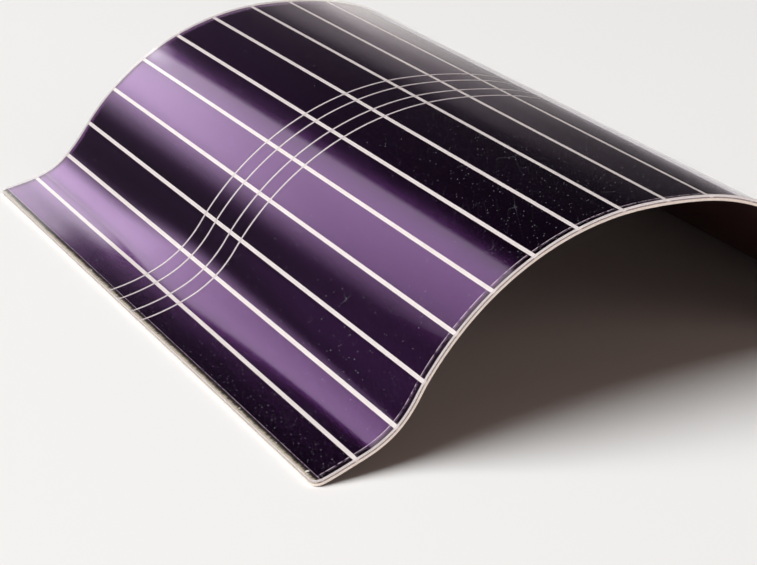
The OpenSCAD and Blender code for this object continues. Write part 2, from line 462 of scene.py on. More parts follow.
def lay_floor():
    """Makes the floor."""
    mesh = bpy.data.meshes.new("floor")
    corners = [(-FLOOR_HALF, -FLOOR_HALF, 0), (FLOOR_HALF, -FLOOR_HALF, 0)]
    corners += [(FLOOR_HALF, FLOOR_HALF, 0), (-FLOOR_HALF, FLOOR_HALF, 0)]
    mesh.from_pydata(corners, [], [(0, 1, 2, 3)])
    floor = bpy.data.objects.new("floor", mesh)
    bpy.context.collection.objects.link(floor)
    material, tree, output = new_material("matt_floor")
    place = add(tree, "TexCoord").outputs["Object"]
    cloud = add(tree, "TexNoise", Vector=place, Scale=CLOUD_SCALE, Detail=3.0)
    shaded = [CLOUD_SHADE * c for c in FLOOR_COLOUR]
    colour = mix_colour(tree, cloud.outputs["Fac"], shaded, FLOOR_COLOUR)
    sheet = add(tree, "BsdfPrincipled", Base_Color=colour, Roughness=0.9)
    sheet.inputs["Specular IOR Level"].default_value = 0.2
    tree.links.new(sheet.outputs[0], output.inputs["Surface"])
    mesh.materials.append(material)
    return floor


table_top = lay_floor()
print("stage:", table_top.name, "reaches %.1f m each way" % FLOOR_HALF)

# %% [markdown]
# The film lies in one wave. Seen from its near end, its front face follows a chain of arcs that
# touch each other smoothly, then a foot that sets it down and a flat tail. A place on the film is
# given by u, the distance from the toe edge over the bend on the front face, and by its height in
# the laminate above the underside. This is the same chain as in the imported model, so each layer
# that is built on it lands where the model has it.

# %% Measure the film along its bend
FILM_T = 1.0
NARROW_COUNT, NARROW_PITCH = 3, 7.55
STRIP_COUNT, STRIP_PITCH = 18, 8.5
FILM_LEN = 151.6
CUT_SLOPE = math.tan(math.radians(6.7))


def line_at(i):
    """Distance from the toe edge to conductor line i, over the bend, in millimetres."""
    return min(i, NARROW_COUNT) * NARROW_PITCH + max(i - NARROW_COUNT, 0) * STRIP_PITCH


FILM_W = line_at(STRIP_COUNT)
print("film %.2f mm wide over the bend and %.1f mm long" % (FILM_W, FILM_LEN))

# %% [markdown]
# Each arc of the wave is written as its radius and the slope at which it ends, in degrees: the
# hollow at the toe, the tighter foot of the rise, the front of the crown, the flatter crest and the
# back of the crown. The last foot gets the radius that sets the film down flat. A Curve modifier
# could bend flat plates too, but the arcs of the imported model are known, so each point is worked
# out from them and every layer keeps its height.

# %% Describe the bend
TOE_SLOPE = 8.5
ARCS = [(31.5, 27.0), (21.2, 56.2), (49.4, 0.6), (88.0, -7.4), (43.0, -60.0)]
TOE_Z = FILM_T * math.cos(math.radians(TOE_SLOPE))


def travel(length, first, last):
    """X and Z travelled over a stretch that bends from one slope to another, in degrees."""
    if first == last:
        return length * math.cos(math.radians(first)), length * math.sin(math.radians(first))
    a, b = math.radians(first), math.radians(last)
    radius = length / (b - a)
    return radius * (math.sin(b) - math.sin(a)), radius * (math.cos(a) - math.cos(b))


def chain_of_arcs():
    """The stretches from the toe edge to the tail, as (length, first slope, last slope)."""
    chain, slope, height = [], TOE_SLOPE, TOE_Z
    for radius, next_slope in ARCS:
        chain.append((radius * math.radians(abs(next_slope - slope)), slope, next_slope))
        height += travel(*chain[-1])[1]
        slope = next_slope
    foot_radius = (height - FILM_T) / (1 - math.cos(math.radians(slope)))
    chain.append((foot_radius * math.radians(-slope), slope, 0.0))
    chain.append((FILM_W - sum(length for length, first, last in chain), 0.0, 0.0))
    return chain


CHAIN = chain_of_arcs()


def profile(u):
    """X, Z and slope in radians of the front face at u, in millimetres from the toe edge."""
    x, z = 0.0, TOE_Z
    for length, first, last in CHAIN:
        part = min(u, length)
        here = first + (last - first) * part / length
        dx, dz = travel(part, first, here) if part > 0 else (0.0, 0.0)
        if u <= length:
            return x + dx, z + dz, math.radians(here)
        x, z, u = x + dx, z + dz, u - length
    return x, z, math.radians(last)


FILM_END_X = profile(FILM_W)[0]
MIDDLE_X, MIDDLE_Y = FILM_END_X / 2, FILM_LEN / 2
packed_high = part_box("front_film")[1]
print("film ends at x %.3f mm, packed %.3f mm" % (FILM_END_X - MIDDLE_X, packed_high.x / MM))

# %% [markdown]
# A real film that is bent by hand isn't quite even, and gloss shows it: a few tenths of a
# millimetre move a reflection a long way. So near the cut end the toe rises in a low roll with a
# shallow dip behind it, both of which fade out along the strips. Towards the far end it has one
# more dip. None of them is more than half a millimetre, and all start level at the toe edge. Noise
# could move the points too, but a few named humps go just where the reflections ask for them.

# %% Bend the film a little unevenly
ROLL_AT, ROLL_HALF, ROLL_RISE = 5.5, 5.5, 0.17
DIP_AT, DIP_HALF, DIP_DEPTH = 15.0, 8.0, 0.34
NEAR_REACH = 105.0
FAR_DIP_AT, FAR_DIP_HALF, FAR_DIP_DEPTH = 11.0, 9.0, 0.5
FAR_DIP_FROM, FAR_DIP_FULL = 80.0, 125.0


def hump(u, middle, half):
    """A smooth hump of height 1 around the middle, level at its foot."""
    return math.cos(math.pi / 2 * (u - middle) / half) ** 2 if abs(u - middle) < half else 0.0


def ease(value, low, high):
    """0 below low and 1 above high, smooth between."""
    t = min(max((value - low) / (high - low), 0.0), 1.0)
    return t * t * (3 - 2 * t)


def unevenness(u, y):
    """How far the hand-bent film stands off the chain of arcs, in millimetres."""
    near = 0.5 * (1 + math.cos(math.pi * min(max(y, 0.0), NEAR_REACH) / NEAR_REACH))
    roll = ROLL_RISE * hump(u, ROLL_AT, ROLL_HALF) - DIP_DEPTH * hump(u, DIP_AT, DIP_HALF)
    far = FAR_DIP_DEPTH * ease(y, FAR_DIP_FROM, FAR_DIP_FULL) * hump(u, FAR_DIP_AT, FAR_DIP_HALF)
    return near * roll - far


print("unevenness at the near dip %.2f mm" % unevenness(DIP_AT, 0.0))

# %% [markdown]
# Now a point of the laminate can be laid: along the bend by u, square to the front face by its
# height, and along the strips by y. The near end is cut out of square through every layer, and the
# corners of the film are a little rounded, which draws both ends in beside the side edges.

# %% Lay a point of the laminate
CORNER_R = 1.6


def corner_pull(u):
    """How far the rounded corners draw an end in, at u."""
    into = max(CORNER_R - u, CORNER_R - (FILM_W - u), 0.0)
    return CORNER_R - math.sqrt(max(CORNER_R ** 2 - into ** 2, 0.0))


def lay_point(u, height, y):
    """A point of the laminate in metres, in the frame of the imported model."""
    x, z, slope = profile(u)
    down = FILM_T - height - unevenness(u, y)
    x, z = x + down * math.sin(slope), z - down * math.cos(slope)
    return Vector((x - MIDDLE_X, y - MIDDLE_Y, z)) * MM


def near_end(u, height):
    """Y of the slanted near end at u."""
    x, z, slope = profile(u)
    return (x + (FILM_T - height) * math.sin(slope)) * CUT_SLOPE + corner_pull(u)


def far_end(u, height):
    """Y of the square far end at u."""
    return FILM_LEN - corner_pull(u)


print("near end runs from y %.2f to %.2f mm" % (near_end(CORNER_R, 0), near_end(FILM_W - CORNER_R, 0)))

# %% [markdown]
# Every piece of the laminate is a ribbon: a span of u, a span of heights and a span of y. Its
# points stand in columns over the bend and in rows along the strips. The columns are the same for
# all pieces, half a millimetre apart and closer in the rounded corners, so neighbours bend alike.
# The rows are about four millimetres apart, because the film is nearly straight that way. A
# Solidify modifier could thicken a bent sheet, but the near end is slanted through the layers, so
# both faces of a piece are worked out point by point.

# %% Space the columns and rows
STEP_U = 0.5
CORNER_STEP, CORNER_COLUMNS = 0.1, 17
LEAST_STEP = 0.015
ROW_STEP = 4.0
BEVEL = 0.08


def stations(first, last):
    """Values of u from first to last on one common grid, closer together in the corners."""
    inner = {round(k * STEP_U, 6) for k in range(int(FILM_W / STEP_U) + 1)} | {BEVEL, FILM_W - BEVEL}
    inner |= {round(k * CORNER_STEP, 6) for k in range(CORNER_COLUMNS)}
    inner |= {round(FILM_W - k * CORNER_STEP, 6) for k in range(CORNER_COLUMNS)}
    return [first] + sorted(u for u in inner if first + LEAST_STEP < u < last - LEAST_STEP) + [last]


def row_places(low, high, steps):
    """Values of y from low to high in even steps, with one more row beside each end for a bevel."""
    if steps == 1:
        return [low, high]
    between = [low + (high - low) * row / steps for row in range(1, steps)]
    return [low, low + BEVEL] + between + [high - BEVEL, high]


print("columns over the whole film:", len(stations(0, FILM_W)))

# %% [markdown]
# Each point also keeps where it was on the flat film, in millimetres, in an attribute called sheet,
# and its distance from the cut end in one called from_near. A pattern that reads them follows the
# bend and never swims over it. A bevel lowers the outermost points of the upper layer, as the cut
# edge of a clear film is slightly broken.

# %% Lay out the points of a ribbon
def ribbon_points(u_span, heights, ends, bevel):
    """Points in metres, their places on the flat film, distances from the near end, columns, rows."""
    us = stations(*u_span)
    near, far = ends
    steps = max(1, int((far(us[0], 0) - near(us[0], 0)) / ROW_STEP))
    rows = len(row_places(0, FILM_LEN, steps))
    points, sheet, from_cut = [], [], []
    for height in heights:
        for u in us:
            for row, y in enumerate(row_places(near(u, height), far(u, height), steps)):
                on_rim = row in (0, rows - 1) or u in (us[0], us[-1])
                lower = BEVEL if bevel and on_rim and height == heights[-1] else 0.0
                points.append(lay_point(u, height - lower, y))
                sheet.append((u, y, height))
                from_cut.append(y - near_end(u, height))
    return points, sheet, from_cut, len(us), rows


layout = ribbon_points((0, 2), (0, 1), (near_end, far_end), False)
print("a ribbon 2 mm wide has %d points in %d columns" % (len(layout[0]), layout[3]))

# %% [markdown]
# The faces close the ribbon all round: a front and a back over the whole piece, and four narrow
# walls. The kind of each face later picks its material, because a cut edge looks nothing like a
# face. Where two kinds meet, the edge stays sharp in the smooth shading.

# %% Close a ribbon with faces
def ribbon_faces(cols, rows, bevel):
    """The faces of a bent box and the kind of each: front, rim, back, ends or sides."""
    layer = cols * rows
    faces, kinds = [], []
    for c in range(cols - 1):
        for r in range(rows - 1):
            a = c * rows + r
            quad = (a, a + rows, a + rows + 1, a + 1)
            faces.append(tuple(layer + k for k in quad))
            on_rim = bevel and (r in (0, rows - 2) or c in (0, cols - 2))
            kinds.append("rim" if on_rim else "front")
            faces.append(quad[::-1])
            kinds.append("back")
        for r, flip in ((0, False), (rows - 1, True)):
            a = c * rows + r
            quad = (a, a + rows, layer + a + rows, layer + a)
            faces.append(quad[::-1] if flip else quad)
            kinds.append("ends")
    for c, flip in ((0, True), (cols - 1, False)):
        for r in range(rows - 1):
            a = c * rows + r
            quad = (a, a + 1, layer + a + 1, layer + a)
            faces.append(quad[::-1] if flip else quad)
            kinds.append("sides")
    return faces, kinds


def sharpen(mesh, kinds):
    """Marks the edges between faces of two kinds as sharp."""
    kinds_at = {}
    for face, kind in zip(mesh.polygons, kinds):
        for edge_key in face.edge_keys:
            kinds_at.setdefault(edge_key, set()).add(kind)
    for edge in mesh.edges:
        edge.use_edge_sharp = len(kinds_at[tuple(sorted(edge.vertices))]) > 1


def ribbon(name, u_span, heights, ends=(near_end, far_end), slots=("all",), bevel=False):
    """Builds a closed bent box. slots may name front, back, ends, sides and rim for its materials."""
    points, sheet, from_cut, cols, rows = ribbon_points(u_span, heights, ends, bevel)
    faces, kinds = ribbon_faces(cols, rows, bevel)
    mesh = bpy.data.meshes.new(name)
    mesh.from_pydata(points, [], faces)
    mesh.attributes.new("sheet", "FLOAT_VECTOR", "POINT").data.foreach_set(
        "vector", [value for point in sheet for value in point])
    mesh.attributes.new("from_near", "FLOAT", "POINT").data.foreach_set("value", from_cut)
    mesh.polygons.foreach_set("use_smooth", [True] * len(faces))
    mesh.polygons.foreach_set(
        "material_index", [slots.index(kind) if kind in slots else 0 for kind in kinds])
    sharpen(mesh, kinds)
    mesh.update()
    made = bpy.data.objects.new(name, mesh)
    bpy.context.collection.objects.link(made)
    return made


print("kinds of face:", sorted(set(ribbon_faces(4, 4, True)[1])))

# %% [markdown]
# Fine dust shows as pale specks on the darkest strips. Specks made as meshes would be thousands of
# tiny pieces, so a texture draws them. A Voronoi texture gives each small cell one point, and its
# random colour decides whether that cell holds a speck and how large it is.

# %% Make the dust group
def make_dust():
    """A group that puts round specks of dust about Spacing apart into a share of its cells."""
    tree, given, out = new_group(
        "dust_specks",
        [("Place", "Vector", None), ("Spacing", "Float", 0.7), ("Size", "Float", 0.06),
         ("Share", "Float", 0.3)],
        [("Mask", "Float")])
    scale = calc(tree, "DIVIDE", 1.0, given["Spacing"])
    cells = add(tree, "TexVoronoi", Vector=given["Place"], Scale=scale)
    pick = add(tree, "SeparateColor", Color=cells.outputs["Color"]).outputs
    held = calc(tree, "LESS_THAN", pick[0], given["Share"])
    reach = times(tree, pick[1], given["Size"], scale)
    near = calc(tree, "SUBTRACT", 1.0, calc(tree, "DIVIDE", cells.outputs["Distance"], reach), clamp=True)
    tree.links.new(times(tree, held, near), out["Mask"])
    return tree


DUST = make_dust()
print("group", DUST.name)

# %% [markdown]
# Streaks are noise drawn out along one direction. They serve for the sealed border, the cut edges
# and the faint unevenness of the strips, each with its own lengths.

# %% Make the streak group
def make_streaks():
    """A group of drawn-out noise. Across and Along are how often it changes per millimetre."""
    tree, given, out = new_group(
        "streaks",
        [("Place", "Vector", None), ("Across", "Float", 1.0), ("Along", "Float", 0.05),
         ("Contrast", "Float", 1.0)],
        [("Value", "Float")])
    parts = add(tree, "SeparateXYZ", Vector=given["Place"]).outputs
    drawn = add(tree, "CombineXYZ")
    tree.links.new(times(tree, parts["X"], given["Across"]), drawn.inputs["X"])
    tree.links.new(times(tree, parts["Y"], given["Along"]), drawn.inputs["Y"])
    tree.links.new(parts["Z"], drawn.inputs["Z"])
    noise = add(tree, "TexNoise", Vector=drawn.outputs[0], Scale=1.0, Detail=4.0, Roughness=0.6)
    centred = calc(tree, "SUBTRACT", noise.outputs["Fac"], 0.5)
    value = calc(tree, "ADD", times(tree, centred, given["Contrast"]), 0.5, clamp=True)
    tree.links.new(value, out["Value"])
    return tree


STREAKS = make_streaks()
print("group", STREAKS.name)

# %% [markdown]
# The cells carry a fine grid of round dots. A picture of the grid would blur up close, so two sine
# waves at right angles give it by rule. Their product is high where both are high and where both
# are low, so twice in each square of the pitch, and a ramp cuts a round dot out of each.

# %% Make the dot lattice group
def make_lattice():
    """A group of round dots Pitch apart both ways, with one more in the middle of each square."""
    tree, given, out = new_group(
        "dot_lattice", [("Place", "Vector", None), ("Pitch", "Float", 0.28)], [("Mask", "Float")])
    turn = calc(tree, "DIVIDE", 2 * math.pi, given["Pitch"])
    parts = add(tree, "SeparateXYZ", Vector=given["Place"]).outputs
    waves = [calc(tree, "SINE", times(tree, parts[axis], turn)) for axis in "XY"]
    tree.links.new(ramp(tree, times(tree, *waves), 0.1, 0.6), out["Mask"])
    return tree


LATTICE = make_lattice()
print("group", LATTICE.name)

# %% [markdown]
# A thin line follows one value, such as the distance from an edge, at the place where that value
# is At. Noise breaks it here and there, as a scribed or printed line is broken.

# %% Make the thin line group
def make_thin_line():
    """A group that draws a line where Value is At. Broken is how faint its gaps are, up to 1."""
    tree, given, out = new_group(
        "thin_line",
        [("Value", "Float", 0.0), ("At", "Float", 1.0), ("Width", "Float", 0.1),
         ("Place", "Vector", None), ("Broken", "Float", 0.5)],
        [("Mask", "Float")])
    off = calc(tree, "ABSOLUTE", calc(tree, "SUBTRACT", given["Value"], given["At"]))
    inside = calc(tree, "SUBTRACT", times(tree, given["Width"], 0.5), off)
    soft = times(tree, given["Width"], 0.3)
    line = calc(tree, "ADD", calc(tree, "DIVIDE", inside, soft), 0.5, clamp=True)
    noise = add(tree, "TexNoise", Vector=given["Place"], Scale=1.3, Detail=3.0)
    hole = times(tree, ramp(tree, noise.outputs["Fac"], 0.50, 0.62), given["Broken"])
    tree.links.new(times(tree, line, calc(tree, "SUBTRACT", 1.0, hole)), out["Mask"])
    return tree


THIN_LINE = make_thin_line()
print("group", THIN_LINE.name)

# %% [markdown]
# Hairline scratches are the thin level lines of a noise that is drawn out along one slanted
# direction. A second, broad noise keeps them to a few places.

# %% Make the scratch group
SCRATCH_TURN = math.radians(24)
SCRATCH_SCALE = (0.55, 0.05, 1.0)


def make_scratches():
    """A group of hairline scratches. Thin is half their width as a step of the noise."""
    tree, given, out = new_group(
        "hairlines",
        [("Place", "Vector", None), ("Thin", "Float", 0.01), ("Share", "Float", 0.4)],
        [("Mask", "Float")])
    turned = tree.nodes.new("ShaderNodeVectorRotate")
    tree.links.new(given["Place"], turned.inputs["Vector"])
    turned.inputs["Angle"].default_value = SCRATCH_TURN
    drawn = add(tree, "Mapping", Vector=turned.outputs[0])
    drawn.inputs["Scale"].default_value = SCRATCH_SCALE
    noise = add(tree, "TexNoise", Vector=drawn.outputs[0], Scale=1.0, Detail=0.0).outputs["Fac"]
    off = calc(tree, "ABSOLUTE", calc(tree, "SUBTRACT", noise, 0.5))
    hair = calc(tree, "LESS_THAN", off, given["Thin"])
    broad = add(tree, "TexNoise", Vector=given["Place"], Scale=0.09, Detail=1.0).outputs["Fac"]
    kept = calc(tree, "LESS_THAN", broad, given["Share"])
    tree.links.new(times(tree, hair, kept), out["Mask"])
    return tree


SCRATCHES = make_scratches()
print("group", SCRATCHES.name)

# %% [markdown]
# The materials read the two attributes that each ribbon carries. These helpers hand them over, and
# work out the distance from the nearer side edge, which the sealed border and the scribed side line
# need.

# %% Read a place on the film
def sheet_place(tree):
    """The place on the flat film: u, y and the height, in millimetres."""
    return add(tree, "Attribute", {"attribute_name": "sheet"}).outputs["Vector"]


def from_near(tree):
    """Distance from the cut near end, in millimetres."""
    return add(tree, "Attribute", {"attribute_name": "from_near"}).outputs["Fac"]


def from_side(tree, place):
    """Distance over the bend from the nearer side edge of the film."""
    u = add(tree, "SeparateXYZ", Vector=place).outputs["X"]
    return calc(tree, "MINIMUM", u, calc(tree, "SUBTRACT", FILM_W, u))


print("attributes: sheet, from_near")

# %% [markdown]
# The cell strips are a coated metal foil. The coat is nearly black where it mirrors the dark room
# and purple where it mirrors the soft panel, so it is a metal with a dark purple colour and a
# satin roughness. A dark plastic would mirror the panel in white, where a metal tints it. A lattice
# of very fine dots lies over the coat. Beside the cut end it is cut through in coarser dots, and
# thin bright lines are scribed along the near end and the side edges.

# %% Choose the coat's colours and lines
COAT = ((0.152, 0.025, 0.211), (0.180, 0.031, 0.245))
COAT_ROUGH = (0.17, 0.21)
DOT_COLOUR, DOT_SHARE, DOT_PITCH = (0.060, 0.010, 0.085), 0.20, 0.28
BORDER_W, BORDER_FADE, BORDER_PITCH = 1.45, 0.1, 0.36
BORDER_DARK = (0.050, 0.010, 0.060)
BORDER_FRESH = ((0.24, 0.10, 0.08), (0.26, 0.12, 0.15))
FRESH_CHANGE = (5.0, 9.0)
BARE_METAL = (0.78, 0.66, 0.68)
NEAR_LINE_AT, NEAR_LINE_W, NEAR_LINE_BROKEN = 1.95, 0.13, 0.7
FAINT_LINE_AT, FAINT_LINE_W, FAINT_LINE_BROKEN, FAINT_LINE_SHARE = 1.60, 0.08, 0.9, 0.5
SIDE_LINE_AT, SIDE_LINE_W, SIDE_LINE_BROKEN, SIDE_LINE_SHARE = 1.47, 0.11, 0.5, 0.6


def scribed_lines(tree, place, near):
    """Where the coat is scribed through: a line and a fainter one at the near end, one at the sides."""
    scribed = place_group(
        tree, THIN_LINE, Value=near, At=NEAR_LINE_AT, Width=NEAR_LINE_W, Place=place,
        Broken=NEAR_LINE_BROKEN)["Mask"]
    faint = place_group(
        tree, THIN_LINE, Value=near, At=FAINT_LINE_AT, Width=FAINT_LINE_W, Place=place,
        Broken=FAINT_LINE_BROKEN)["Mask"]
    side = place_group(
        tree, THIN_LINE, Value=from_side(tree, place), At=SIDE_LINE_AT, Width=SIDE_LINE_W, Place=place,
        Broken=SIDE_LINE_BROKEN)["Mask"]
    bare = calc(tree, "MAXIMUM", scribed, times(tree, faint, FAINT_LINE_SHARE))
    return calc(tree, "MAXIMUM", bare, times(tree, side, SIDE_LINE_SHARE))


print("coat from", COAT[0], "to", COAT[1])

# %% [markdown]
# The cell material puts these together from the bottom up: the coat with its dots, the cut-through
# border at the near end, and the bare metal of the scribed lines, which is pale and not a mirror.

# %% Make the cell material
def make_cell():
    """The purple coat on the cell strips."""
    material, tree, output = new_material("purple_cell")
    place = sheet_place(tree)
    near = from_near(tree)
    streak = place_group(tree, STREAKS, Place=place, Across=1.1, Along=0.03, Contrast=1.4)["Value"]
    coat = mix_colour(tree, streak, *COAT)
    dots = place_group(tree, LATTICE, Place=place, Pitch=DOT_PITCH)["Mask"]
    coat = mix_colour(tree, times(tree, dots, DOT_SHARE), coat, DOT_COLOUR)
    border = ramp(tree, near, BORDER_W, BORDER_W - BORDER_FADE, kind="LINEAR")
    dashes = place_group(tree, LATTICE, Place=place, Pitch=BORDER_PITCH)["Mask"]
    u = add(tree, "SeparateXYZ", Vector=place).outputs["X"]
    fresh = mix_colour(tree, ramp(tree, u, *FRESH_CHANGE), *BORDER_FRESH)
    cut_coat = mix_colour(tree, dashes, BORDER_DARK, fresh)
    bare = scribed_lines(tree, place, near)
    colour = mix_colour(tree, bare, mix_colour(tree, border, coat, cut_coat), BARE_METAL)
    rough = ramp(tree, streak, 0.0, 1.0, *COAT_ROUGH)
    metal = calc(tree, "SUBTRACT", 1.0, bare)
    foil = add(tree, "BsdfPrincipled", Base_Color=colour, Metallic=metal, Roughness=rough)
    tree.links.new(foil.outputs[0], output.inputs["Surface"])
    return material


CELL = make_cell()
print("material", CELL.name)

# %% [markdown]
# The conductor lines and the cross lines are printed silver paste, pale and matt under the clear
# film. Fine short streaks keep them from looking like flat paint. The cross lines are thinner, so
# more of the dark below shows through them and their colour is a little darker.

# %% Make the line materials
PASTE_ROUGH = 0.45


def make_line(name, light, dark):
    """Printed paste between two close colours."""
    material, tree, output = new_material(name)
    streak = place_group(
        tree, STREAKS, Place=sheet_place(tree), Across=3.0, Along=0.25, Contrast=1.6)["Value"]
    colour = mix_colour(tree, streak, dark, light)
    paste = add(tree, "BsdfPrincipled", Base_Color=colour, Metallic=0.0, Roughness=PASTE_ROUGH)
    tree.links.new(paste.outputs[0], output.inputs["Surface"])
    return material


CONDUCTOR = make_line("conductor_paste", (0.82, 0.755, 0.74), (0.68, 0.615, 0.585))
CROSS = make_line("cross_paste", (0.70, 0.63, 0.64), (0.56, 0.50, 0.50))
print("materials", CONDUCTOR.name, CROSS.name)

# %% [markdown]
# The clear front film adds the sharp gloss. Its face lets the strips show through and mirrors the
# room by Fresnel's law, so it is a mix of a see-through shader and a glossy one. True glass bends
# each ray, which is slow and noisy in several thin layers, and so thin a film hardly shifts what
# lies below. Seen from inside, the face mirrors nothing, because the adhesive fills the space
# there. Dust lies thickest on the first strip near the cut end. On the other strips it is thinner,
# with a little more on the crest, and all of it thins out towards the far end, as the faint
# hairlines do.

# %% Make the clear face
CLEAR_IOR = 1.5
CLEAR_ROUGH = (0.035, 0.075)
SMUDGE_SCALE = 0.07
DUSTY_Y = (95.0, 15.0)
TOE_DUST_U, TOE_DUST = (9.0, 6.0), (0.18, 0.62)
CREST_DUST_U, CREST_DUST = (42.0, 52.0), 0.13
STRAY_DUST = 0.04
SPECK_SPACING, SPECK_SIZE, SPECK_COVER = 0.42, 0.12, 0.75
HAIR_THIN, HAIR_SHARE, HAIR_COVER = 0.0022, 0.45, 0.06
DUST_COLOUR = (0.60, 0.62, 0.68, 1.0)


def dust_cover(tree, place):
    """How much the dust and the hairlines cover, from 0 to 1."""
    parts = add(tree, "SeparateXYZ", Vector=place).outputs
    toward_near = ramp(tree, parts["Y"], *DUSTY_Y)
    first_strip = ramp(tree, parts["X"], *TOE_DUST_U, *TOE_DUST)
    crest = ramp(tree, parts["X"], *CREST_DUST_U, 0.0, CREST_DUST)
    share = times(tree, calc(tree, "ADD", first_strip, crest), toward_near)
    specks = place_group(
        tree, DUST, Place=place, Spacing=SPECK_SPACING, Size=SPECK_SIZE,
        Share=calc(tree, "ADD", share, STRAY_DUST))["Mask"]
    hairs = place_group(tree, SCRATCHES, Place=place, Thin=HAIR_THIN, Share=HAIR_SHARE)["Mask"]
    hairs = times(tree, hairs, toward_near, HAIR_COVER)
    return calc(tree, "MAXIMUM", times(tree, specks, SPECK_COVER), hairs)


def make_clear_face():
    """The glossy face of the front film, with its dust."""
    material, tree, output = new_material("clear_face")
    place = sheet_place(tree)
    smudge = add(tree, "TexNoise", Vector=place, Scale=SMUDGE_SCALE, Detail=3.0).outputs["Fac"]
    mirror = add(tree, "BsdfAnisotropic", Roughness=ramp(tree, smudge, 0.40, 0.66, *CLEAR_ROUGH))
    mirror.inputs["Color"].default_value = (1, 1, 1, 1)
    clear = add(tree, "BsdfTransparent")
    outside = calc(tree, "SUBTRACT", 1.0, add(tree, "NewGeometry").outputs["Backfacing"])
    fresnel = times(tree, add(tree, "Fresnel", IOR=CLEAR_IOR).outputs[0], outside)
    gloss = mix_shader(tree, fresnel, clear, mirror)
    powder = add(tree, "BsdfPrincipled", Roughness=0.8)
    powder.inputs["Base Color"].default_value = DUST_COLOUR
    dusty = mix_shader(tree, times(tree, dust_cover(tree, place), outside), gloss, powder)
    tree.links.new(dusty.outputs[0], output.inputs["Surface"])
    return material


CLEAR_FACE = make_clear_face()
print("material", CLEAR_FACE.name)

# %% [markdown]
# The bonded sides of the clear film and its adhesive can't be seen at all, so their material is
# plain see-through. The cut edge of the clear film scatters light like frosted glass: part of what
# it shows is its own colour and part comes from inside the film. Its colour is nearly white with a
# pink tint, which is partly painted light, for the light piped through the film, and the pale rim
# along the bevel partly paints the bright line on the upper edge. Subsurface scattering is another
# way to that look, but a share of a translucent shader is quicker and easier to steer.

# %% Make the clear film's other sides
def make_bonded():
    """A clear side that the adhesive fills, which shows nothing of itself."""
    material, tree, output = new_material("clear_bonded")
    clear = add(tree, "BsdfTransparent")
    tree.links.new(clear.outputs[0], output.inputs["Surface"])
    return material


def make_cut(name, light, dark, through):
    """A cut edge that scatters light: partly its own colour, partly light from inside the film."""
    material, tree, output = new_material(name)
    streak = place_group(
        tree, STREAKS, Place=sheet_place(tree), Across=2.0, Along=2.0, Contrast=1.6)["Value"]
    colour = mix_colour(tree, streak, dark, light)
    frost = add(tree, "BsdfPrincipled", Base_Color=colour, Roughness=0.6)
    glow = add(tree, "BsdfTranslucent", Color=colour)
    both = mix_shader(tree, through, frost, glow)
    tree.links.new(both.outputs[0], output.inputs["Surface"])
    return material


CLEAR_BONDED = make_bonded()
# The cut colours are nearly white and pinkish, partly painted light piped through the film; the rim's pale
# colour partly paints the bright line along the upper edge.
CLEAR_CUT_AND_GLOW = make_cut("clear_cut_and_glow", (0.97, 0.92, 0.92), (0.87, 0.80, 0.80), 0.6)
CLEAR_RIM_AND_HIGHLIGHT = make_cut("clear_rim_and_highlight", (0.96, 0.92, 0.92), (0.86, 0.81, 0.81), 0.4)
print("materials", CLEAR_BONDED.name, CLEAR_CUT_AND_GLOW.name, CLEAR_RIM_AND_HIGHLIGHT.name)

# %% [markdown]
# The back film is cream where it is cut. Its underside is a dark, nearly matt red-brown coat,
# which shows only in the shade under the wave. Its darkness and red tint are partly painted shade,
# set so that the shade under the wave comes out deep and reddish. The adhesive shows as a thin dark
# seam at the cut edge. All three are opaque, so one maker serves them with their own colours and
# streak lengths.

# %% Make the opaque materials
def make_plain(name, light, dark, per_mm, rough, specular=0.5):
    """An opaque finish between two close colours, in streaks that change per_mm times a millimetre."""
    material, tree, output = new_material(name)
    streak = place_group(
        tree, STREAKS, Place=sheet_place(tree), Across=per_mm, Along=per_mm, Contrast=1.6)["Value"]
    colour = mix_colour(tree, streak, dark, light)
    body = add(tree, "BsdfPrincipled", Base_Color=colour, Roughness=rough)
    body.inputs["Specular IOR Level"].default_value = specular
    tree.links.new(body.outputs[0], output.inputs["Surface"])
    return material


BACK_CUT = make_plain("back_cut", (0.92, 0.86, 0.80), (0.76, 0.69, 0.61), 2.0, 0.6)
# The underside's dark red-brown is partly painted shade, for the deep reddish shade under the wave.
BACK_COAT_AND_SHADE = make_plain("back_coat_and_shade", (0.070, 0.024, 0.022), (0.046, 0.016, 0.014), 0.5, 0.45, 0.3)
ADHESIVE_CUT = make_plain("adhesive_cut", (0.46, 0.40, 0.38), (0.24, 0.19, 0.18), 2.0, 0.6)
print("materials", BACK_CUT.name, BACK_COAT_AND_SHADE.name, ADHESIVE_CUT.name)

# %% [markdown]
# The border along each side is a sealed band. Outside it is cream, where the clear film lies on
# the back film, and it darkens inwards in fine streaks to nearly black. A thin grey line and a few
# pale chips mark it. Chips could be small meshes, but all of it lies sealed under the clear film,
# so colour alone carries it.

# %% Make the border material
CREAM = ((0.42, 0.35, 0.27), (0.80, 0.71, 0.57))
SEAL_DARK = (0.014, 0.010, 0.010)
SEAL_INWARD, SEAL_RAGGED = (0.42, 1.05), 0.8
SEAL_LINE_AT, SEAL_LINE_W, SEAL_LINE_BROKEN, SEAL_LINE_SHARE = 0.34, 0.10, 0.6, 0.6
SEAL_LINE_COLOUR = (0.20, 0.18, 0.17)
CHIP_SPACING, CHIP_SIZE, CHIP_SHARE = 0.9, 0.45, 0.10
CHIP_COLOUR = (0.66, 0.62, 0.56)


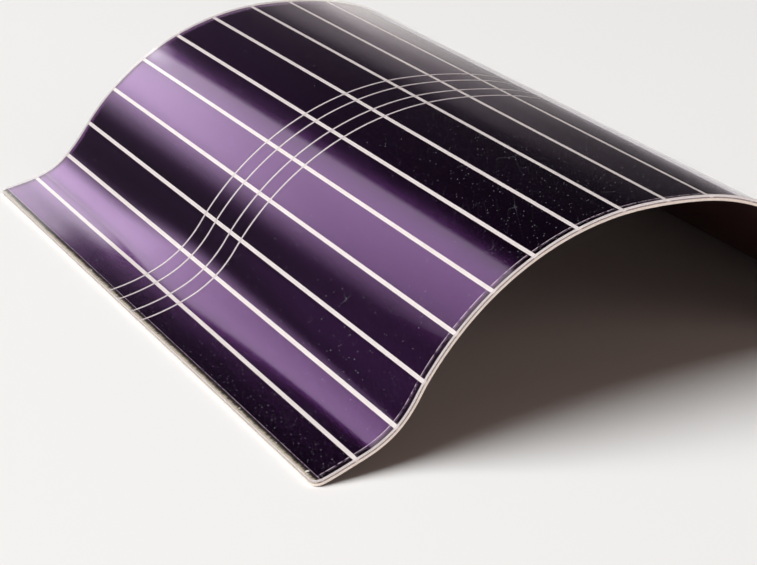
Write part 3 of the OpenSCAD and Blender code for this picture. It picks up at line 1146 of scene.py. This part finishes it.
def make_seal():
    """The sealed border along a side edge."""
    material, tree, output = new_material("edge_seal")
    place = sheet_place(tree)
    side = from_side(tree, place)
    streak = place_group(tree, STREAKS, Place=place, Across=0.5, Along=5.0, Contrast=2.0)["Value"]
    shift = times(tree, calc(tree, "SUBTRACT", streak, 0.5), SEAL_RAGGED)
    inward = ramp(tree, calc(tree, "ADD", side, shift), *SEAL_INWARD)
    colour = mix_colour(tree, inward, mix_colour(tree, streak, *CREAM), SEAL_DARK)
    edge = place_group(
        tree, THIN_LINE, Value=side, At=SEAL_LINE_AT, Width=SEAL_LINE_W, Place=place,
        Broken=SEAL_LINE_BROKEN)["Mask"]
    colour = mix_colour(tree, times(tree, edge, SEAL_LINE_SHARE), colour, SEAL_LINE_COLOUR)
    chips = place_group(
        tree, DUST, Place=place, Spacing=CHIP_SPACING, Size=CHIP_SIZE, Share=CHIP_SHARE)["Mask"]
    colour = mix_colour(tree, ramp(tree, chips, 0.1, 0.3), colour, CHIP_COLOUR)
    band = add(tree, "BsdfPrincipled", Base_Color=colour, Roughness=0.5)
    band.inputs["Specular IOR Level"].default_value = 0.2
    tree.links.new(band.outputs[0], output.inputs["Surface"])
    return material


SEAL = make_seal()
print("material", SEAL.name)

# %% [markdown]
# At the cut end each strip shows as a thin grey seam, dotted where its coarse dots are cut through.
# The lattice gives the dots: y is held still on the crest of one wave, so the pattern changes only
# over the bend and the dots stand in one row.

# %% Make the seam material
SEAM_PITCH = 0.6
SEAM_COLOUR = (0.42, 0.35, 0.36)
SEAM_DOT = (0.12, 0.08, 0.10)


def make_seam():
    """The cut ends of the cell strips."""
    material, tree, output = new_material("strip_seam")
    held = add(tree, "Mapping", Vector=sheet_place(tree))
    held.inputs["Location"].default_value = (0.0, SEAM_PITCH / 4, 0.0)
    held.inputs["Scale"].default_value = (1.0, 0.0, 1.0)
    dots = place_group(tree, LATTICE, Place=held.outputs[0], Pitch=SEAM_PITCH)["Mask"]
    colour = mix_colour(tree, dots, SEAM_COLOUR, SEAM_DOT)
    seam = add(tree, "BsdfPrincipled", Base_Color=colour, Roughness=0.6)
    tree.links.new(seam.outputs[0], output.inputs["Surface"])
    return material


SEAM = make_seam()
print("material", SEAM.name, "of", len(bpy.data.materials), "in all")

# %% [markdown]
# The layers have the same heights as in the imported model. The clear layers keep a hair of room
# between them, because two faces in exactly the same place flicker in the render. The front face
# stays a few thousandths of a millimetre lower than the true arc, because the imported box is
# measured over flat facets and the dressed film has to stay inside it.

# %% Stack the layers
BACK_T, REAR_T, CELL_T, ADHESIVE_T = 0.42, 0.06, 0.08, 0.06
REAR_Z = BACK_T
CELL_Z = REAR_Z + REAR_T
FRONT_Z = CELL_Z + CELL_T
CLEAR_Z = FRONT_Z + ADHESIVE_T
GAP = 0.01
CROSS_GAP = 1.5 * GAP
FACET_DIP = 0.006


def finish_piece(made, node_name, materials):
    """Gives a piece its materials, hides the imported part it replaces and hangs it on the root body."""
    for material in materials:
        made.data.materials.append(material)
    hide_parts(node_name)
    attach(made, "root")
    return made


def numbered(name, i):
    """The name of one of a row of like pieces."""
    return "%s_%02d" % (name, i)


print("cells from %.2f to %.2f mm, clear film from %.2f mm" % (CELL_Z, FRONT_Z, CLEAR_Z))

# %% [markdown]
# Now the pieces are laid, from the back film up. The back sheet and the glue below the cells span
# the whole film. Beside the cells, at their height, a seal closes each side edge.

# %% Lay the back sheet, the rear glue and the seals
SEAL_W = 1.4

finish_piece(
    ribbon("back_sheet", (0, FILM_W), (0, REAR_Z), slots=("front", "back", "ends", "sides")),
    "back_film", [BACK_CUT, BACK_COAT_AND_SHADE, BACK_CUT, BACK_CUT])
finish_piece(
    ribbon("rear_glue", (0, FILM_W), (REAR_Z, CELL_Z)), "rear_adhesive", [ADHESIVE_CUT])
finish_piece(
    ribbon("toe_seal", (0, SEAL_W), (CELL_Z, FRONT_Z)), "toe_edge_seal", [SEAL])
finish_piece(
    ribbon("tail_seal", (FILM_W - SEAL_W, FILM_W), (CELL_Z, FRONT_Z)),
    "tail_edge_seal", [SEAL])
print("laid the back sheet, the rear glue and two seals %.1f mm wide" % SEAL_W)

# %% [markdown]
# The strips and the conductor lines between them share one layer. They could be painted onto one
# sheet, but each is a piece of its own on the real film, and so it is here. A strip runs from line
# to line, and the first and the last one end at the seals.

# %% Lay the strips and the conductor lines
LINE_W = 0.7

for i in range(1, STRIP_COUNT + 1):
    begin = SEAL_W if i == 1 else line_at(i - 1) + LINE_W / 2
    end = FILM_W - SEAL_W if i == STRIP_COUNT else line_at(i) - LINE_W / 2
    strip = ribbon(numbered("strip", i), (begin, end), (CELL_Z, FRONT_Z), slots=("front", "ends"))
    finish_piece(strip, numbered("cell_strip", i), [CELL, SEAM])
for i in range(1, STRIP_COUNT):
    line = ribbon(
        numbered("line", i), (line_at(i) - LINE_W / 2, line_at(i) + LINE_W / 2), (CELL_Z, FRONT_Z))
    finish_piece(line, numbered("conductor_line", i), [CONDUCTOR])
print("laid %d strips and %d conductor lines" % (STRIP_COUNT, STRIP_COUNT - 1))

# %% [markdown]
# The four cross lines lie in the clear adhesive over the strips, in two pairs, and reach from edge
# to edge. They are ribbons too, with square ends of their own in place of the film's near and far
# end. An end is a function of u and height, so a small function makes one that ignores both.

# %% Lay the cross lines
CROSS_W = 0.46
CROSS_Y = [72.5, 77.25, 83.8, 88.55]


def square_end(y):
    """An end of a ribbon that stands at the same y over the whole bend."""
    def end(u, height):
        return y
    return end


for i, y in enumerate(CROSS_Y, 1):
    ends = (square_end(y - CROSS_W / 2), square_end(y + CROSS_W / 2))
    cross = ribbon(numbered("cross", i), (0, FILM_W), (FRONT_Z + CROSS_GAP, CLEAR_Z - CROSS_GAP), ends)
    finish_piece(cross, numbered("cross_line", i), [CROSS])
print("laid %d cross lines" % len(CROSS_Y))

# %% [markdown]
# The clear front film and the clear adhesive close the laminate. Only the front film's upper edge
# is bevelled, because it is the only edge that catches a line of light; the pale colour of its rim
# partly paints that line. The adhesive's faces are see-through, and its cut edge shows in the seam.

# %% Lay the clear layers
finish_piece(
    ribbon(
        "clear_sheet", (0, FILM_W), (CLEAR_Z + GAP, FILM_T - FACET_DIP),
        slots=("front", "back", "ends", "sides", "rim"), bevel=True),
    "front_film", [CLEAR_FACE, CLEAR_BONDED, CLEAR_CUT_AND_GLOW, CLEAR_CUT_AND_GLOW, CLEAR_RIM_AND_HIGHLIGHT])
finish_piece(
    ribbon(
        "clear_glue", (0, FILM_W), (FRONT_Z + GAP, CLEAR_Z - GAP),
        slots=("front", "back", "ends", "sides")),
    "front_adhesive", [CLEAR_BONDED, CLEAR_BONDED, ADHESIVE_CUT, ADHESIVE_CUT])
